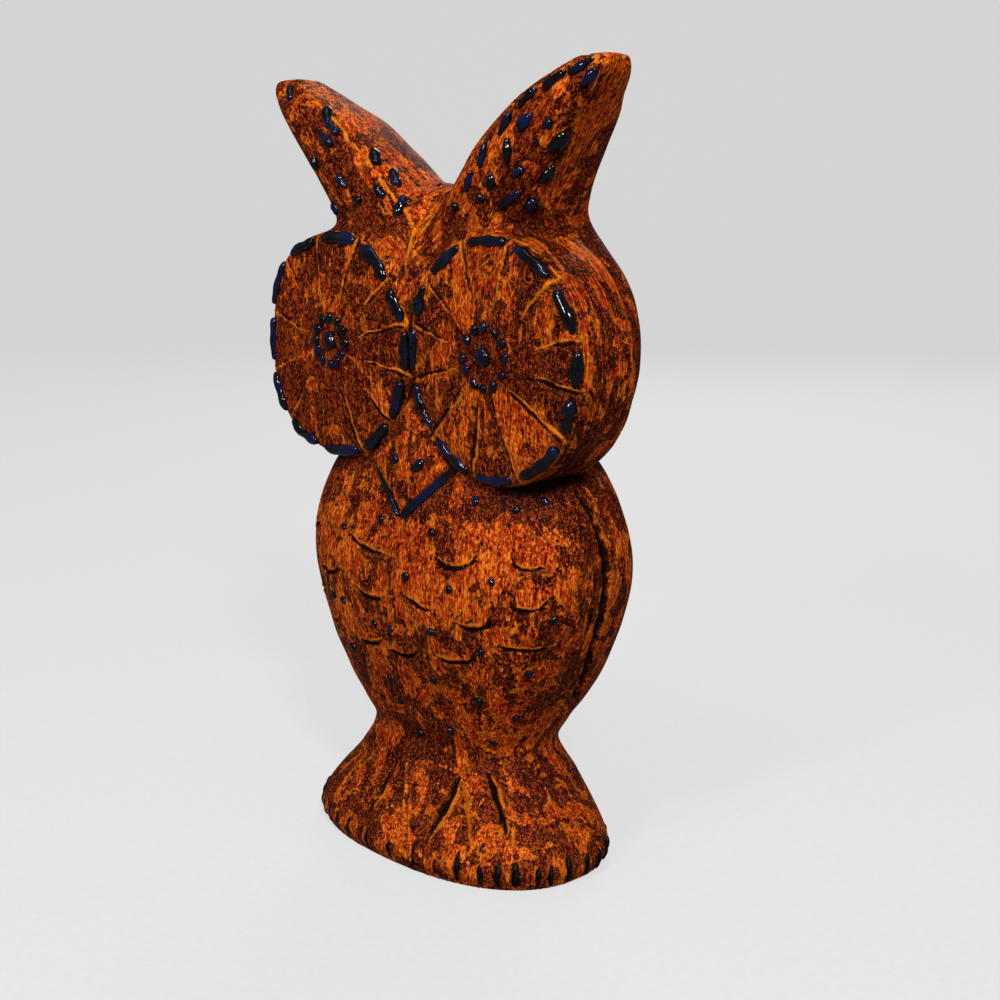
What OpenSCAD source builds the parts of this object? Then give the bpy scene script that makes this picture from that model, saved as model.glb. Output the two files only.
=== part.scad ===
// Carved wooden owl that stands on a flared foot, dotted and dashed with raised enamel.
// The owl looks along -Y, +Z is up, and left and right are the owl's own sides.

/* [Whole figure] */
// Height from the table to the ear tips, in millimetres
owl_h = 240; // [160:1:320]
// Facets round each horizontal slice of the carving
slice_facets = 48; // [32:4:56]
// Height between slices of the body and the skull, in millimetres
slice_step = 4; // [3.5:0.5:8]

/* [Eye discs] */
// Radius of each eye disc
disc_r = 36; // [33:0.5:38]
// Distance of each disc's centre from the middle of the face
disc_x = 35.6; // [34:0.2:38]
// Height of the disc centres above the table
disc_z = 157; // [154:0.5:160]
// How far the disc rims stand in front of the middle plane
disc_front = 21.8; // [20:0.2:24]
// How much each disc swells at its middle
disc_dome = 3.2; // [1:0.2:4]

/* [Beak] */
// Half the width of the beak at its corners
beak_half_w = 18; // [14:0.5:20]
// Height of the beak's upper point, between the discs
beak_top = 144; // [140:0.5:148]
// Height of the beak's two corners
beak_mid = 124; // [121:0.5:127]
// Height of the beak's tip, on the breast
beak_tip = 108; // [104:0.5:112]

/* [Painted beads] */
// Half the width of the dashes round the eye discs
dash_r = 1.8; // [1.4:0.1:2.2]
// Half the width of the round dots on the breast
dot_r = 1.5; // [1.1:0.1:1.9]
// Half the width of the dots in each iris ring
iris_dot_r = 1.15; // [0.9:0.05:1.3]
// Number of dots in each iris ring
iris_dots = 12; // [8:1:13]
// Number of short strokes round the hem of the foot
hem_strokes = 40; // [24:2:48]
// Share of a bead's half width that is sunk in the wood
bead_sink = 0.3; // [0.1:0.05:0.5]

/* [Hidden] */

design_h = 240;
grow = owl_h / design_h;
wood = "#a8521c";
enamel = "#101430";
bead_facets = 8;
left = 1;
right = -1;

// Slices of the foot and body: height, half width, half depth, middle in Y.
body_slices = [
    [0, 52.6, 32.2, -2.6], [5, 54.2, 34, -2.6], [12, 51, 32, -1.6], [24, 41.4, 25.8, 0.6],
    [35.5, 33.6, 20.6, 0], [43, 36.7, 22.6, -0.4], [53, 43, 25.2, -0.2], [67, 50.6, 28.3, 0],
    [82, 56.4, 30.2, 0.3], [94, 58.6, 29.8, 0.5], [106, 57.6, 27.4, 0.8],
    [118, 52.4, 24.2, 1.1], [130, 43, 20.4, 1.4]];
// Slices of the skull behind the eye discs, in the same order.
skull_slices = [
    [118, 34, 17, 4.4], [125, 43.5, 19.4, 4.8], [134, 51.6, 21.6, 5.3], [144, 57, 22.8, 5.6],
    [156, 59.6, 23, 5.8], [168, 59.4, 22.4, 5.5], [178, 56.4, 21, 5], [187, 49.6, 18.6, 4.2],
    [195, 39, 15.6, 3.4], [201, 30, 12.6, 2.2], [204.5, 20, 9, 1.2], [206, 8, 4, 0.6]];
// Slices of one ear: height, half width, half depth, middle in Y, middle in X.
ear_slices = [
    [178, 23, 19.2, 0, 18], [187, 21.6, 18.4, -1, 20.2], [197, 19.8, 17, -2.9, 24.6],
    [206, 18.2, 15.7, -5.2, 31.2], [216, 16.9, 14.4, -7.4, 40.4], [225.5, 14.8, 12.5, -9.1, 50.3],
    [230.4, 12.7, 10.6, -10.3, 56.2], [235, 10.2, 8.5, -10.8, 62.4], [237.6, 8.2, 6.8, -11, 65.6],
    [239.4, 6, 5, -11, 67.6], [240, 3.4, 2.8, -11, 68.6]];
foot_roundness = 2.35;
body_roundness = 3;
ear_roundness = 3.8;
foot_top = 24;
waist_top = 48;

// Gaps between the rim dashes, as angles round each disc, seen from the front.
left_gaps = [139, 109, 77, 43, 13, -10, -35, -72, -103, -137, -168, -196];
right_gaps = [134, 104, 70, 37, 13, -12, -40, -70, -105, -136, -164, -196];
dash_gap = 4;
// How far a disc's outline swells into two blunt corners on its outer side, for +X and for -X.
disc_corners = [0, 0.09];
dash_ring = disc_r - 2.4;
// Rings of dots round the pupils, for +X and for -X.
iris_ring_r = [8.6, 7.2];
iris_shift = [0.4, 1.4];
pupil_r = 2.6;

// Beads on the fronts of the ears: X, Z, length and lean from upright, in degrees.
left_spots = [
    [69.2, 233.3, 4.6, 64], [49.2, 222.6, 4, 45], [42.2, 215, 5, 5], [52.6, 217, 1, 0],
    [57, 217.1, 5, 66], [45.3, 209.5, 3, 50], [51, 209.2, 4, 68], [34.9, 207.2, 3, 28],
    [30.3, 202.5, 1.5, 80], [40.5, 202, 7, 58], [45, 200.8, 1, 60]];
right_spots = [
    [-60.5, 235, 3, -25], [-42, 227, 4, -20], [-40, 221, 7, -50], [-25, 214.5, 5, -5],
    [-45.5, 213, 3, -10], [-18.2, 208, 5, -5], [-33, 207.5, 3, -40], [-26.5, 202, 2, -60],
    [-39, 199.5, 2, -30], [-12, 200, 4, 10]];
// Strokes near the inner edge of the +X ear: X, Z, length and lean from upright.
left_edge = [
    [18.8, 200, 1, 10], [25.8, 207.5, 4.6, 20], [32.4, 214.8, 6, 24], [41.3, 222.4, 6, 31],
    [49.3, 228.9, 6, 48], [58.6, 233.4, 6, 52], [67, 236.2, 5.5, 62]];
// Strokes along the inner edge of the -X ear: lower and upper height.
right_edge = [[203, 205.5], [222, 225]];
edge_turn = 232;

// Dots on the breast: X and Z.
breast_spots = [
    [-9, 105.5], [15, 105], [29.5, 116], [43, 115], [49, 117.5], [-27, 100.5], [6, 90.5],
    [25, 90], [40, 94.5], [-32.5, 77.5], [-26, 77], [-10, 72.5], [-1.5, 72.5], [17, 75.5],
    [35.5, 72.5], [-25, 61], [-6.5, 55], [15, 59.5], [46.5, 66.5], [31, 55.5], [38.5, 50.5],
    [2, 38], [17.5, 43], [54.5, 84], [-3.5, 48], [30, 41]];

hem_low = 2.2;
hem_high = 7.6;
wing_line_r = 1.2;
wing_heights = [60, 68, 76, 84, 92, 100, 108, 116];
wing_turn = 14;

// Slope of every column of a table at row i, from the rows on either side of it.
function slope(rows, i) =
    let (lo = max(i - 1, 0), hi = min(i + 1, len(rows) - 1))
    (rows[hi] - rows[lo]) / (rows[hi][0] - rows[lo][0]);
// Smooth curve from row i of a table to the next, read at height z.
function between(rows, i, z) =
    let (h = rows[i + 1][0] - rows[i][0], t = (z - rows[i][0]) / h)
    (1 + 2 * t) * pow(1 - t, 2) * rows[i] + t * pow(1 - t, 2) * h * slope(rows, i)
    + t * t * (3 - 2 * t) * rows[i + 1] + t * t * (t - 1) * h * slope(rows, i + 1);
function slice_at(rows, z, i = 0) =
    i < len(rows) - 2 && z > rows[i + 1][0] ? slice_at(rows, z, i + 1) : between(rows, i, z);

// How square a slice of the body is at height z: 2 is an ellipse, more is squarer.
function roundness(z) =
    foot_roundness + (body_roundness - foot_roundness)
    * min(max((z - foot_top) / (waist_top - foot_top), 0), 1);
function bulge(c, n) = sign(c) * pow(abs(c), 2 / n);
// Point of a slice s at angle t round it; column 4, where there is one, moves it along X.
function slice_point(s, t, n, side = 1) =
    [side * ((len(s) > 4 ? s[4] : 0) + s[1] * bulge(cos(t), n)), s[3] + s[2] * bulge(sin(t), n), s[0]];
// Front face of a slice s at a place x.
function front_y(s, x, n) =
    let (u = min(abs(x - (len(s) > 4 ? s[4] : 0)) / s[1], 0.97))
    s[3] - s[2] * pow(1 - pow(u, n), 1 / n);

// Closed skin over a stack of rings that all have the same number of points.
module skin(rings) {
    n = len(rings[0]);
    last = len(rings) - 1;
    points = [for (ring = rings, p = ring) p];
    bottom = [[for (k = [0:n - 1]) k]];
    top = [[for (k = [n - 1:-1:0]) last * n + k]];
    sides = [for (i = [0:last - 1], k = [0:n - 1], half = [0, 1])
        let (a = i * n + k, b = i * n + (k + 1) % n)
        half == 0 ? [a, a + n, b + n] : [a, b + n, b]];
    polyhedron(points, concat(bottom, top, sides), convexity = 8);
}

function ring_at(rows, z, n, facets, side = 1) =
    [for (k = [0:facets - 1]) slice_point(slice_at(rows, z), side * 360 * k / facets, n, side)];

module foot_and_body() {
    top = body_slices[len(body_slices) - 1][0];
    skin([for (i = [0:ceil(top / slice_step)])
        let (z = min(i * slice_step, top)) ring_at(body_slices, z, roundness(z), slice_facets)]);
}

module skull() {
    low = skull_slices[0][0];
    top = skull_slices[len(skull_slices) - 1][0];
    skin([for (i = [0:ceil((top - low) / slice_step)])
        let (z = min(low + i * slice_step, top)) ring_at(skull_slices, z, body_roundness, slice_facets)]);
}

// Each stretch of an ear, from one slice to the next, is the hull of the two.
module ear(side) {
    ear_facets = 32;
    low = ear_slices[0][0];
    steps = 16;
    rise = ear_slices[len(ear_slices) - 1][0] - low;
    heights = [for (i = [0:steps]) low + rise * sin(90 * i / steps)];
    for (i = [0:steps - 1])
        hull()
            skin([for (z = [heights[i], heights[i + 1]])
                ring_at(ear_slices, z, ear_roundness, ear_facets, side)]);
}

// A disc with a rounded rim and a slightly swollen face, which looks forwards.
module eye_disc(side) {
    rim_r = 3;
    face_rings = 4;
    disc_facets = 64;
    translate([side * disc_x, 0, disc_z]) rotate([90, 0, 0])
        hull() {
            disc_plate(side, disc_front - rim_r, disc_r, disc_facets);
            for (t = [30, 60, 90])
                disc_plate(side, disc_front - rim_r * (1 - sin(t)), disc_r - rim_r * (1 - cos(t)),
                    disc_facets);
            for (i = [1:face_rings])
                let (r = disc_r * (1 - i / (face_rings + 1)))
                disc_plate(side, disc_front + dome_at(r), r, disc_facets);
        }
}
module disc_plate(side, h, r, facets) {
    linear_extrude(height = h)
        polygon([for (k = [0:facets - 1])
            let (t = 360 * k / facets, s = r * disc_swell(side, t)) [s * cos(t), s * sin(t)]]);
}
// Outline of a disc at angle t, as a share of its radius.
function disc_swell(side, t) =
    1 + (side == left ? disc_corners[0] : disc_corners[1]) * max(0, side * cos(t)) * pow(sin(2 * t), 2);
function dome_at(r) = disc_dome * (1 - pow(r / disc_r, 2));

// A kite that stands off the breast, with a ridge down its middle.
module beak() {
    edge_y = -23.2;
    tip_y = -26.6;
    ridge_y = -27.6;
    ridge_z = 121;
    back_y = -10;
    hull() {
        for (y = [edge_y, back_y]) {
            for (side = [left, right])
                translate([side * beak_half_w, y, beak_mid]) sphere(r = 0.8, $fn = bead_facets);
            translate([0, y, beak_top]) sphere(r = 0.8, $fn = bead_facets);
        }
        translate([0, tip_y, beak_tip]) sphere(r = 0.8, $fn = bead_facets);
        translate([0, back_y, beak_tip]) sphere(r = 0.8, $fn = bead_facets);
        translate([0, ridge_y, ridge_z]) sphere(r = 0.8, $fn = bead_facets);
    }
}

module whole_carving() {
    foot_and_body();
    skull();
    beak();
    for (side = [left, right]) {
        ear(side);
        eye_disc(side);
    }
}

module carved_block() {
    color(wood) scale(grow) union() whole_carving();
}

// Beads of enamel dry on the wood, so the wood is taken out of them.
module painted() {
    color(enamel) scale(grow) difference() {
        union() children();
        whole_carving();
    }
}

// One bead drawn from point a to point b on the surface.
module bead(a, b, r) {
    hull()
        for (p = [a, b])
            translate(p) sphere(r = r, $fn = bead_facets);
}

// A place on the front of a disc, at radius r and angle t from its middle, moved by shift across it.
function disc_place(side, r, t, rise, shift = [0, 0]) =
    let (s = r * disc_swell(side, t))
    [side * disc_x + shift[0] + s * cos(t), -disc_front - dome_at(r) - rise, disc_z + shift[1] + s * sin(t)];

module rim_dashes(side, gaps) {
    rise = -bead_sink * dash_r - 0.7;
    painted() for (i = [0:len(gaps) - 1]) {
        from = gaps[i] - dash_gap;
        to = (i == len(gaps) - 1 ? gaps[0] - 360 : gaps[i + 1]) + dash_gap;
        middle = (from + to) / 2;
        bead(disc_place(side, dash_ring, from, rise), disc_place(side, dash_ring, middle, rise), dash_r);
        bead(disc_place(side, dash_ring, middle, rise), disc_place(side, dash_ring, to, rise), dash_r);
    }
}

module iris_ring(side) {
    ring_r = iris_ring_r[side > 0 ? 0 : 1];
    rise = -bead_sink * iris_dot_r;
    painted() for (i = [0:iris_dots - 1])
        let (p = disc_place(side, ring_r, 360 * i / iris_dots, rise, iris_shift))
        bead(p, p + [0, 0, 0.1], iris_dot_r);
}

module pupil(side) {
    rise = -bead_sink * pupil_r;
    ends = [for (t = [90, -90]) disc_place(side, 0.6, t, rise, iris_shift)];
    painted() bead(ends[0], ends[1], pupil_r);
}

module beak_strokes() {
    stroke_r = 1.5;
    corner = [beak_half_w, -22.6, beak_mid - 0.5];
    tip = [0.8, -26.4, beak_tip + 0.6];
    painted() for (side = [left, right])
        bead([side * corner[0], corner[1], corner[2]], [side * tip[0], tip[1], tip[2]], stroke_r);
}

module nostril_dots() {
    painted() {
        bead([-4, -26, 124.3], [-4, -26, 125.3], 1.4);
        bead([5.2, -26, 122.6], [6.8, -25.6, 125], 1.4);
    }
}

// Short beads on the front of an ear: each spot is X, Z, length and lean from upright.
module ear_spots(side, spots) {
    spot_r = 1.5;
    painted() for (s = spots) {
        reach = s[2] / 2;
        ends = [for (k = [1, -1]) [abs(s[0]) + side * k * reach * sin(s[3]), s[1] + k * reach * cos(s[3])]];
        places = [for (e = ends)
            let (cut = slice_at(ear_slices, min(e[1], 239)))
            [side * e[0], front_y(cut, e[0], ear_roundness) + bead_sink * spot_r, e[1]]];
        bead(places[0], places[1] + [0, 0, 0.1], spot_r);
    }
}

module ear_edge_dashes(side, strokes) {
    edge_r = 1.4;
    painted() for (s = strokes)
        bead(slice_point(slice_at(ear_slices, s[0]), edge_turn, ear_roundness, side),
            slice_point(slice_at(ear_slices, s[1]), edge_turn, ear_roundness, side), edge_r);
}

module breast_dots() {
    painted() for (s = breast_spots)
        let (y = front_y(slice_at(body_slices, s[1]), s[0], roundness(s[1])) + bead_sink * dot_r)
        bead([s[0], y, s[1]], [s[0], y, s[1] + 0.1], dot_r);
}

module hem_ticks() {
    tick_r = 0.9;
    painted() for (i = [0:hem_strokes - 1])
        let (t = 360 * (i + 0.5) / hem_strokes,
            stretch = [for (z = [hem_low, hem_high])
                slice_point(slice_at(body_slices, z), t, foot_roundness)])
        bead(stretch[0], stretch[1], tick_r);
}

// A line of enamel that runs down the flank along the front edge of the wing.
module wing_line(side) {
    places = [for (z = wing_heights)
        slice_point(slice_at(body_slices, z), wing_turn - (z - 60) / 5, body_roundness, side)];
    painted() for (i = [0:len(places) - 2])
        bead(places[i], places[i + 1], wing_line_r);
}

carved_block();
rim_dashes(left, left_gaps);  // left_eye_rim_dashes
rim_dashes(right, right_gaps);  // right_eye_rim_dashes
iris_ring(left);  // left_iris_ring
iris_ring(right);  // right_iris_ring
pupil(left);  // left_pupil
pupil(right);  // right_pupil
beak_strokes();
nostril_dots();
ear_spots(left, left_edge);  // left_ear_edge_dashes
ear_edge_dashes(right, right_edge);  // right_ear_edge_dashes
ear_spots(left, left_spots);  // left_ear_spots
ear_spots(right, right_spots);  // right_ear_spots
breast_dots();
hem_ticks();
wing_line(left);  // left_wing_line
wing_line(right);  // right_wing_line
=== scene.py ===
"""A carved wooden owl, brush-painted in burnt orange over dark brown, dotted with raised navy enamel
and lined with black.

The carving is one smooth solid, described by how far any point is from its skin, in millimetres.
It is skinned twice, once for the foot and body and once for the head, and then the knife cuts are
pressed into the skin.  The beads of paint are profiles carried along short paths on that skin.
"""

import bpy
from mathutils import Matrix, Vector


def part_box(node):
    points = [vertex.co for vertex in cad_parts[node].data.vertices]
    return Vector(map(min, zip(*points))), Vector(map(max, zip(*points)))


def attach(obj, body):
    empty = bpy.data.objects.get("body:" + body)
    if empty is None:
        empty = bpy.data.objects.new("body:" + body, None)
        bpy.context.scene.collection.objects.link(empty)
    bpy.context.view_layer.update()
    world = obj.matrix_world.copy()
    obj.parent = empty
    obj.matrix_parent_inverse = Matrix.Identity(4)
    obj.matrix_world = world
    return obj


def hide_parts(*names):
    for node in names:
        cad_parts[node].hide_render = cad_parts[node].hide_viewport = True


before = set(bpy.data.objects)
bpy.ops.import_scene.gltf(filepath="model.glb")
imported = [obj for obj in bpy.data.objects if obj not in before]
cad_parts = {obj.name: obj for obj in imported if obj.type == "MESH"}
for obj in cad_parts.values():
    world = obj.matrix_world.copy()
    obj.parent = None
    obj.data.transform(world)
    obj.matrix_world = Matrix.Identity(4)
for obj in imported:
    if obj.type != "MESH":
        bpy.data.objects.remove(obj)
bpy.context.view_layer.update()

import math

import bmesh
import bpy
import numpy as np
from mathutils import Vector

MM = 0.001
DESIGN_H = 240.0
block_low, block_high = (np.array(corner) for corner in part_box("carved_block"))
GROW = (block_high[2] - block_low[2]) / (DESIGN_H * MM)
LEFT, RIGHT = 1, -1
VIEW_AZIMUTH = 46.8
rng = np.random.default_rng(20)

# ------------------------------ the carving's own sizes, in mm

# Slices of the foot and body: height, half width, half depth, middle in Y.
BODY = np.array([
    [0, 52.6, 32.2, -2.6], [5, 54.2, 34, -2.6], [12, 51, 32, -1.6], [24, 41.4, 25.8, 0.6],
    [35.5, 33.6, 20.6, 0], [43, 36.7, 22.6, -0.4], [53, 43, 25.2, -0.2], [67, 50.6, 28.3, 0],
    [82, 56.4, 30.2, 0.3], [94, 58.6, 29.8, 0.5], [106, 57.6, 27.4, 0.8],
    [118, 52.4, 24.2, 1.1], [130, 43, 20.4, 1.4]])
# Slices of the skull behind the eye discs.
SKULL = np.array([
    [118, 34, 17, 4.4], [125, 43.5, 19.4, 4.8], [134, 51.6, 21.6, 5.3], [144, 57, 22.8, 5.6],
    [156, 59.6, 23, 5.8], [168, 59.4, 22.4, 5.5], [178, 56.4, 21, 5], [187, 49.6, 18.6, 4.2],
    [195, 39, 15.6, 3.4], [201, 30, 12.6, 2.2], [204.5, 20, 9, 1.2], [206, 8, 4, 0.6]])
# Slices of one ear: height, half width, half depth, middle in Y, middle in X.
EAR = np.array([
    [178, 23, 19.2, 0, 18], [187, 21.6, 18.4, -1, 20.2], [197, 19.8, 17, -2.9, 24.6],
    [206, 18.2, 15.7, -5.2, 31.2], [216, 16.9, 14.4, -7.4, 40.4], [225.5, 14.8, 12.5, -9.1, 50.3],
    [230.4, 12.7, 10.6, -10.3, 56.2], [235, 10.2, 8.5, -10.8, 62.4], [237.6, 8.2, 6.8, -11, 65.6],
    [239.4, 6, 5, -11, 67.6], [240, 3.4, 2.8, -11, 68.6]])
FOOT_ROUNDNESS, BODY_ROUNDNESS, EAR_ROUNDNESS = 2.35, 3.0, 3.8
FOOT_TOP, WAIST_TOP = 24, 48
DISC_R, DISC_X, DISC_Z = 36.0, 35.6, 157.0
DISC_FRONT, DISC_DOME, DISC_EDGE = 21.8, 3.2, 4.0
DISC_CORNERS = {LEFT: 0.0, RIGHT: 0.09}
BEAK_HALF_W, BEAK_TOP, BEAK_MID, BEAK_TIP = 18.0, 144.0, 124.0, 108.0
IRIS_SHIFT, IRIS_RING, IRIS_DOTS = (0.4, 1.4), {LEFT: 8.6, RIGHT: 7.2}, 12
# A place in front of the whole figure, from which points are pressed back onto it.
FRONT_Y = -60.0
# Lattices that the two skins are made on: lowest and highest corner, and the step.  At the full step
# each skin stays under 200,000 triangles.
BODY_LATTICE = (-60, -42, -3), (60, 38, 134)
HEAD_LATTICE = (-80, -40, 104), (80, 34, 243)
FULL_STEP, QUICK_STEP = 0.79, 1.6
# How far out the painted crease shade looks for hollows, and how far in the paint looks for edges.
CREASE_SHADE_REACHES, EDGE_REACH = (5.0, 11.0), 4.0
# Beyond this many half widths from its middle, a cut leaves the skin alone.
FAR_RATIO = 4.0

# Knife cuts on each disc: angle seen from the front, radius where the cut starts, half width.
LEFT_CUTS = [
    (139, 20, 0.5), (109, 18, 0.6), (77, 17, 0.5), (43, 20, 0.75), (13, 20, 0.6), (-10, 20, 0.7),
    (-35, 12, 0.85), (-72, 18, 0.65), (-103, 10, 0.85), (-137, 11, 0.75), (-168, 11, 0.6), (-196, 16, 0.6)]
RIGHT_CUTS = [
    (134, 22, 0.5), (104, 12, 0.5), (70, 14, 0.65), (37, 16, 0.6), (13, 14, 0.55), (-12, 17, 0.6),
    (-40, 20, 0.6), (-70, 10, 0.65), (-105, 18, 0.55), (-136, 13, 0.6), (-164, 16, 0.5), (-196, 10, 0.5)]
# How bright the paint is in each wedge of a disc, starting after the first cut.
LEFT_WEDGES = [0.16, 0.02, -0.10, -0.02, -0.16, -0.12, 0.14, -0.02, 0.08, 0.04, -0.02, 0.06]
RIGHT_WEDGES = [-0.03, 0.02, -0.07, -0.12, -0.08, -0.03, -0.14, 0.0, -0.03, -0.14, -0.10, -0.06]
# Curved cuts on the breast: X and Z of the lowest point, half width, drop, lean to the right end.
SCALLOPS = [
    (-13.5, 95.5, 9.5, 2.0, -1.2), (26, 96, 8, 3.0, 0.5), (49, 98.5, 4.5, 1.5, -0.5),
    (-34.5, 84.5, 7, 1.8, 1.0), (-11, 80.5, 8.5, 2.8, 0.0), (10.5, 82.5, 7, 1.4, -1.6),
    (33.5, 79, 6.5, 2.4, 0.8), (50, 87, 4, 0.8, 0.4), (-13.5, 65, 6, 2.0, 1.0),
    (3, 64.5, 6.5, 1.6, 0.8), (24.5, 66.8, 8.5, 2.6, 0.8), (46.5, 74, 6, 1.2, 0.2),
    (-35, 67.5, 4, 1.2, 0.5), (-49, 97, 5, 1.6, 0.4), (-47, 76, 5, 1.4, 0.4)]
# Long cuts on the foot and above the waist: X and Z of both ends, half width, and how dark it is.
TOE_CUTS = [
    (-6.8, 28, -8.5, 11, 1.5, 0.9), (-3, 30, 12.5, 7, 1.1, 0.2), (19.8, 28.5, 18.6, 10, 1.8, 1.0),
    (21.5, 27, 33, 10, 1.3, 0.3), (27.5, 31, 40, 16, 1.5, 1.0), (11.6, 50, 10.4, 41, 0.9, 0.8),
    (-20, 27, -29, 14, 1.0, 0.7), (-25, 29, -40, 12, 1.2, 0.7), (36, 24, 38, 15, 0.7, 0.3),
    (-17.5, 50, -14.5, 37, 1.1, 0.9), (21, 49, 23, 40, 0.8, 0.6), (-29, 102, -27, 118, 1.0, 0.4)]
# Ridges between cuts, which catch the light paint: points in X and Z, and half width.
RIDGES = [
    ([(-10, 201), (-5, 196.5), (-1.6, 193), (-1, 187), (-2, 183), (-1.4, 178)], 0.9),
    ([(5, 198), (2, 193), (0, 188)], 0.7), ([(69.6, 238.6), (71.6, 236.4)], 1.7),
    ([(67, 229), (64, 222)], 0.6), ([(-2.6, 28), (4, 18), (11.6, 8)], 0.6),
    ([(21.2, 27), (27, 20), (32.6, 12.5)], 0.8), ([(39.7, 18.5), (44.3, 12.5)], 0.6),
    ([(-22, 188.5), (-23, 193)], 0.7)]
WING_HEIGHTS = np.linspace(50, 120, 16)
# Strokes round the hem of the foot: how many, and how far they are drawn in from front and back.
HEM_STROKES, HEM_INSET = 40, 0.979
# How deep the black line lies in a wing's groove.
LINE_SINK = 1.0

# ------------------------------ numbers used by every piece


def rows_at(rows, z):
    """The columns of a slice table at height z: a cubic through the rows whose slope at each row is
    the slope between its two neighbours."""
    heights = rows[:, 0]
    slopes = np.gradient(rows, axis=0)
    slopes[1:-1] = (rows[2:] - rows[:-2]) / (heights[2:] - heights[:-2])[:, None]
    slopes[0] = (rows[1] - rows[0]) / (heights[1] - heights[0])
    slopes[-1] = (rows[-1] - rows[-2]) / (heights[-1] - heights[-2])
    z = np.clip(z, heights[0], heights[-1])
    i = np.clip(np.searchsorted(heights, z, side="right") - 1, 0, len(heights) - 2)
    step = (heights[i + 1] - heights[i])[..., None]
    t = (z - heights[i])[..., None] / step
    value = ((1 + 2 * t) * (1 - t) ** 2 * rows[i] + t * (1 - t) ** 2 * step * slopes[i]
             + t * t * (3 - 2 * t) * rows[i + 1] + t * t * (t - 1) * step * slopes[i + 1])
    return np.moveaxis(value, -1, 0)


def smooth_step(low, high, value):
    """0 below low, 1 above high, and an S curve between."""
    t = np.clip((value - low) / (high - low), 0, 1)
    return t * t * (3 - 2 * t)


def melt(a, b, reach):
    """The nearer of two distances, with a fillet about as wide as reach where they meet."""
    near = np.maximum(reach - np.abs(a - b), 0) / reach
    return np.minimum(a, b) - near * near * reach * 0.25


def both(a, b, reach):
    """Inside both shapes, with an edge rounded by about reach."""
    return -melt(-a, -b, reach)


def lumps(p, size, seed):
    """Smooth noise from -1 to 1: a hashed value at each corner of a lattice of that size, blended
    with an S curve inside each cell."""
    q = p / size + seed * 17.3
    cell = np.floor(q).astype(np.int64)
    f = q - cell
    f = f * f * (3 - 2 * f)
    total = 0.0
    for corner in np.ndindex(2, 2, 2):
        k = cell + np.array(corner)
        h = (k[..., 0] * 73856093) ^ (k[..., 1] * 19349663) ^ (k[..., 2] * 83492791) ^ (seed * 668265263)
        h = (h * 2654435761) & 0xFFFFFFFF
        h = ((h ^ (h >> 15)) * 2246822519) & 0xFFFFFFFF
        weight = np.prod(np.where(np.array(corner) == 1, f, 1 - f), axis=-1)
        total = total + weight * (h / 0x7FFFFFFF - 1)
    return total


# ------------------------------ the carving as a distance


def slab(x, y, half_w, half_d, roundness):
    """Distance across a level slice: the gap along the line from the middle to a superellipse."""
    rho = ((np.abs(x) / half_w) ** roundness + (np.abs(y) / half_d) ** roundness) ** (1 / roundness)
    r = np.hypot(x, y)
    return r - r / np.maximum(rho, 1e-6)


def stack(rows, x, y, z, roundness, side=1):
    """A solid whose level slices are the rows of a table."""
    cut = rows_at(rows, z)
    middle = side * cut[4] if len(cut) > 4 else 0
    skin = slab(x - middle, y - cut[3], cut[1], cut[2], roundness)
    return np.maximum(skin, np.maximum(rows[0, 0] - z, z - rows[-1, 0]))


def body_roundness(z):
    """How square the body's slices are: an ellipse-like foot, and a squarer body above the waist."""
    t = np.clip((z - FOOT_TOP) / (WAIST_TOP - FOOT_TOP), 0, 1)
    return FOOT_ROUNDNESS + (BODY_ROUNDNESS - FOOT_ROUNDNESS) * t


def body_field(x, y, z):
    """The foot and body."""
    return stack(BODY, x, y, z, body_roundness(z))


def disc_swell(side, across, up):
    """How much a disc's outline swells beyond a circle: two blunt corners on its outer side."""
    r = np.maximum(np.hypot(across, up), 1e-6)
    outer = np.clip(side * across / r, 0, 1)
    return 1 + DISC_CORNERS[side] * outer * (2 * across * up / r ** 2) ** 2


def disc_field(side, x, y, z):
    """A disc that looks forwards, with a swollen face and a rounded rim."""
    across, up = x - side * DISC_X, z - DISC_Z
    r = np.hypot(across, up) / disc_swell(side, across, up)
    face = -DISC_FRONT - DISC_DOME * (1 - np.clip(r / DISC_R, 0, 1) ** 2) - y
    return both(both(face, r - DISC_R, DISC_EDGE), y, 1.0)


def beak_field(x, y, z):
    """A kite with a ridge down its middle, whose front leans out towards the tip."""
    rise, drop = BEAK_TOP - BEAK_MID, BEAK_MID - BEAK_TIP
    across = np.abs(x)
    upper = ((z - BEAK_TOP) * BEAK_HALF_W + across * rise) / math.hypot(rise, BEAK_HALF_W)
    lower = ((BEAK_TIP - z) * BEAK_HALF_W + across * drop) / math.hypot(drop, BEAK_HALF_W)
    edge = np.maximum(upper, lower)
    lean = np.clip((BEAK_MID + 4 - z) / 18, 0, 1) * 3.4
    crown = 2.0 * np.clip(-edge / 9, 0, 1) ** 0.8
    face = -22.8 - lean - crown - y
    return both(both(edge, face, 2.5), y + 10, 1.0)


def head_field(x, y, z):
    """The skull, ears and eye discs, run together with carved hollows, and the beak."""
    ears = melt(stack(EAR, x, y, z, EAR_ROUNDNESS, LEFT), stack(EAR, x, y, z, EAR_ROUNDNESS, RIGHT), 14)
    skull = melt(stack(SKULL, x, y, z, BODY_ROUNDNESS), ears, 12)
    discs = np.minimum(disc_field(LEFT, x, y, z), disc_field(RIGHT, x, y, z))
    return melt(melt(skull, discs, 5), beak_field(x, y, z), 1.5)


def owl_field(x, y, z):
    """The whole carving."""
    return np.minimum(body_field(x, y, z), head_field(x, y, z))


def slope_of(field, p, reach=0.05):
    """The direction in which a field grows fastest at each point, as a unit vector."""
    steps = np.eye(3) * reach
    grad = np.stack([field(*(p + s).T) - field(*(p - s).T) for s in steps], axis=-1)
    size = np.linalg.norm(grad, axis=-1, keepdims=True)
    return grad / np.maximum(size, 1e-9), size[..., 0] / (2 * reach)


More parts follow.
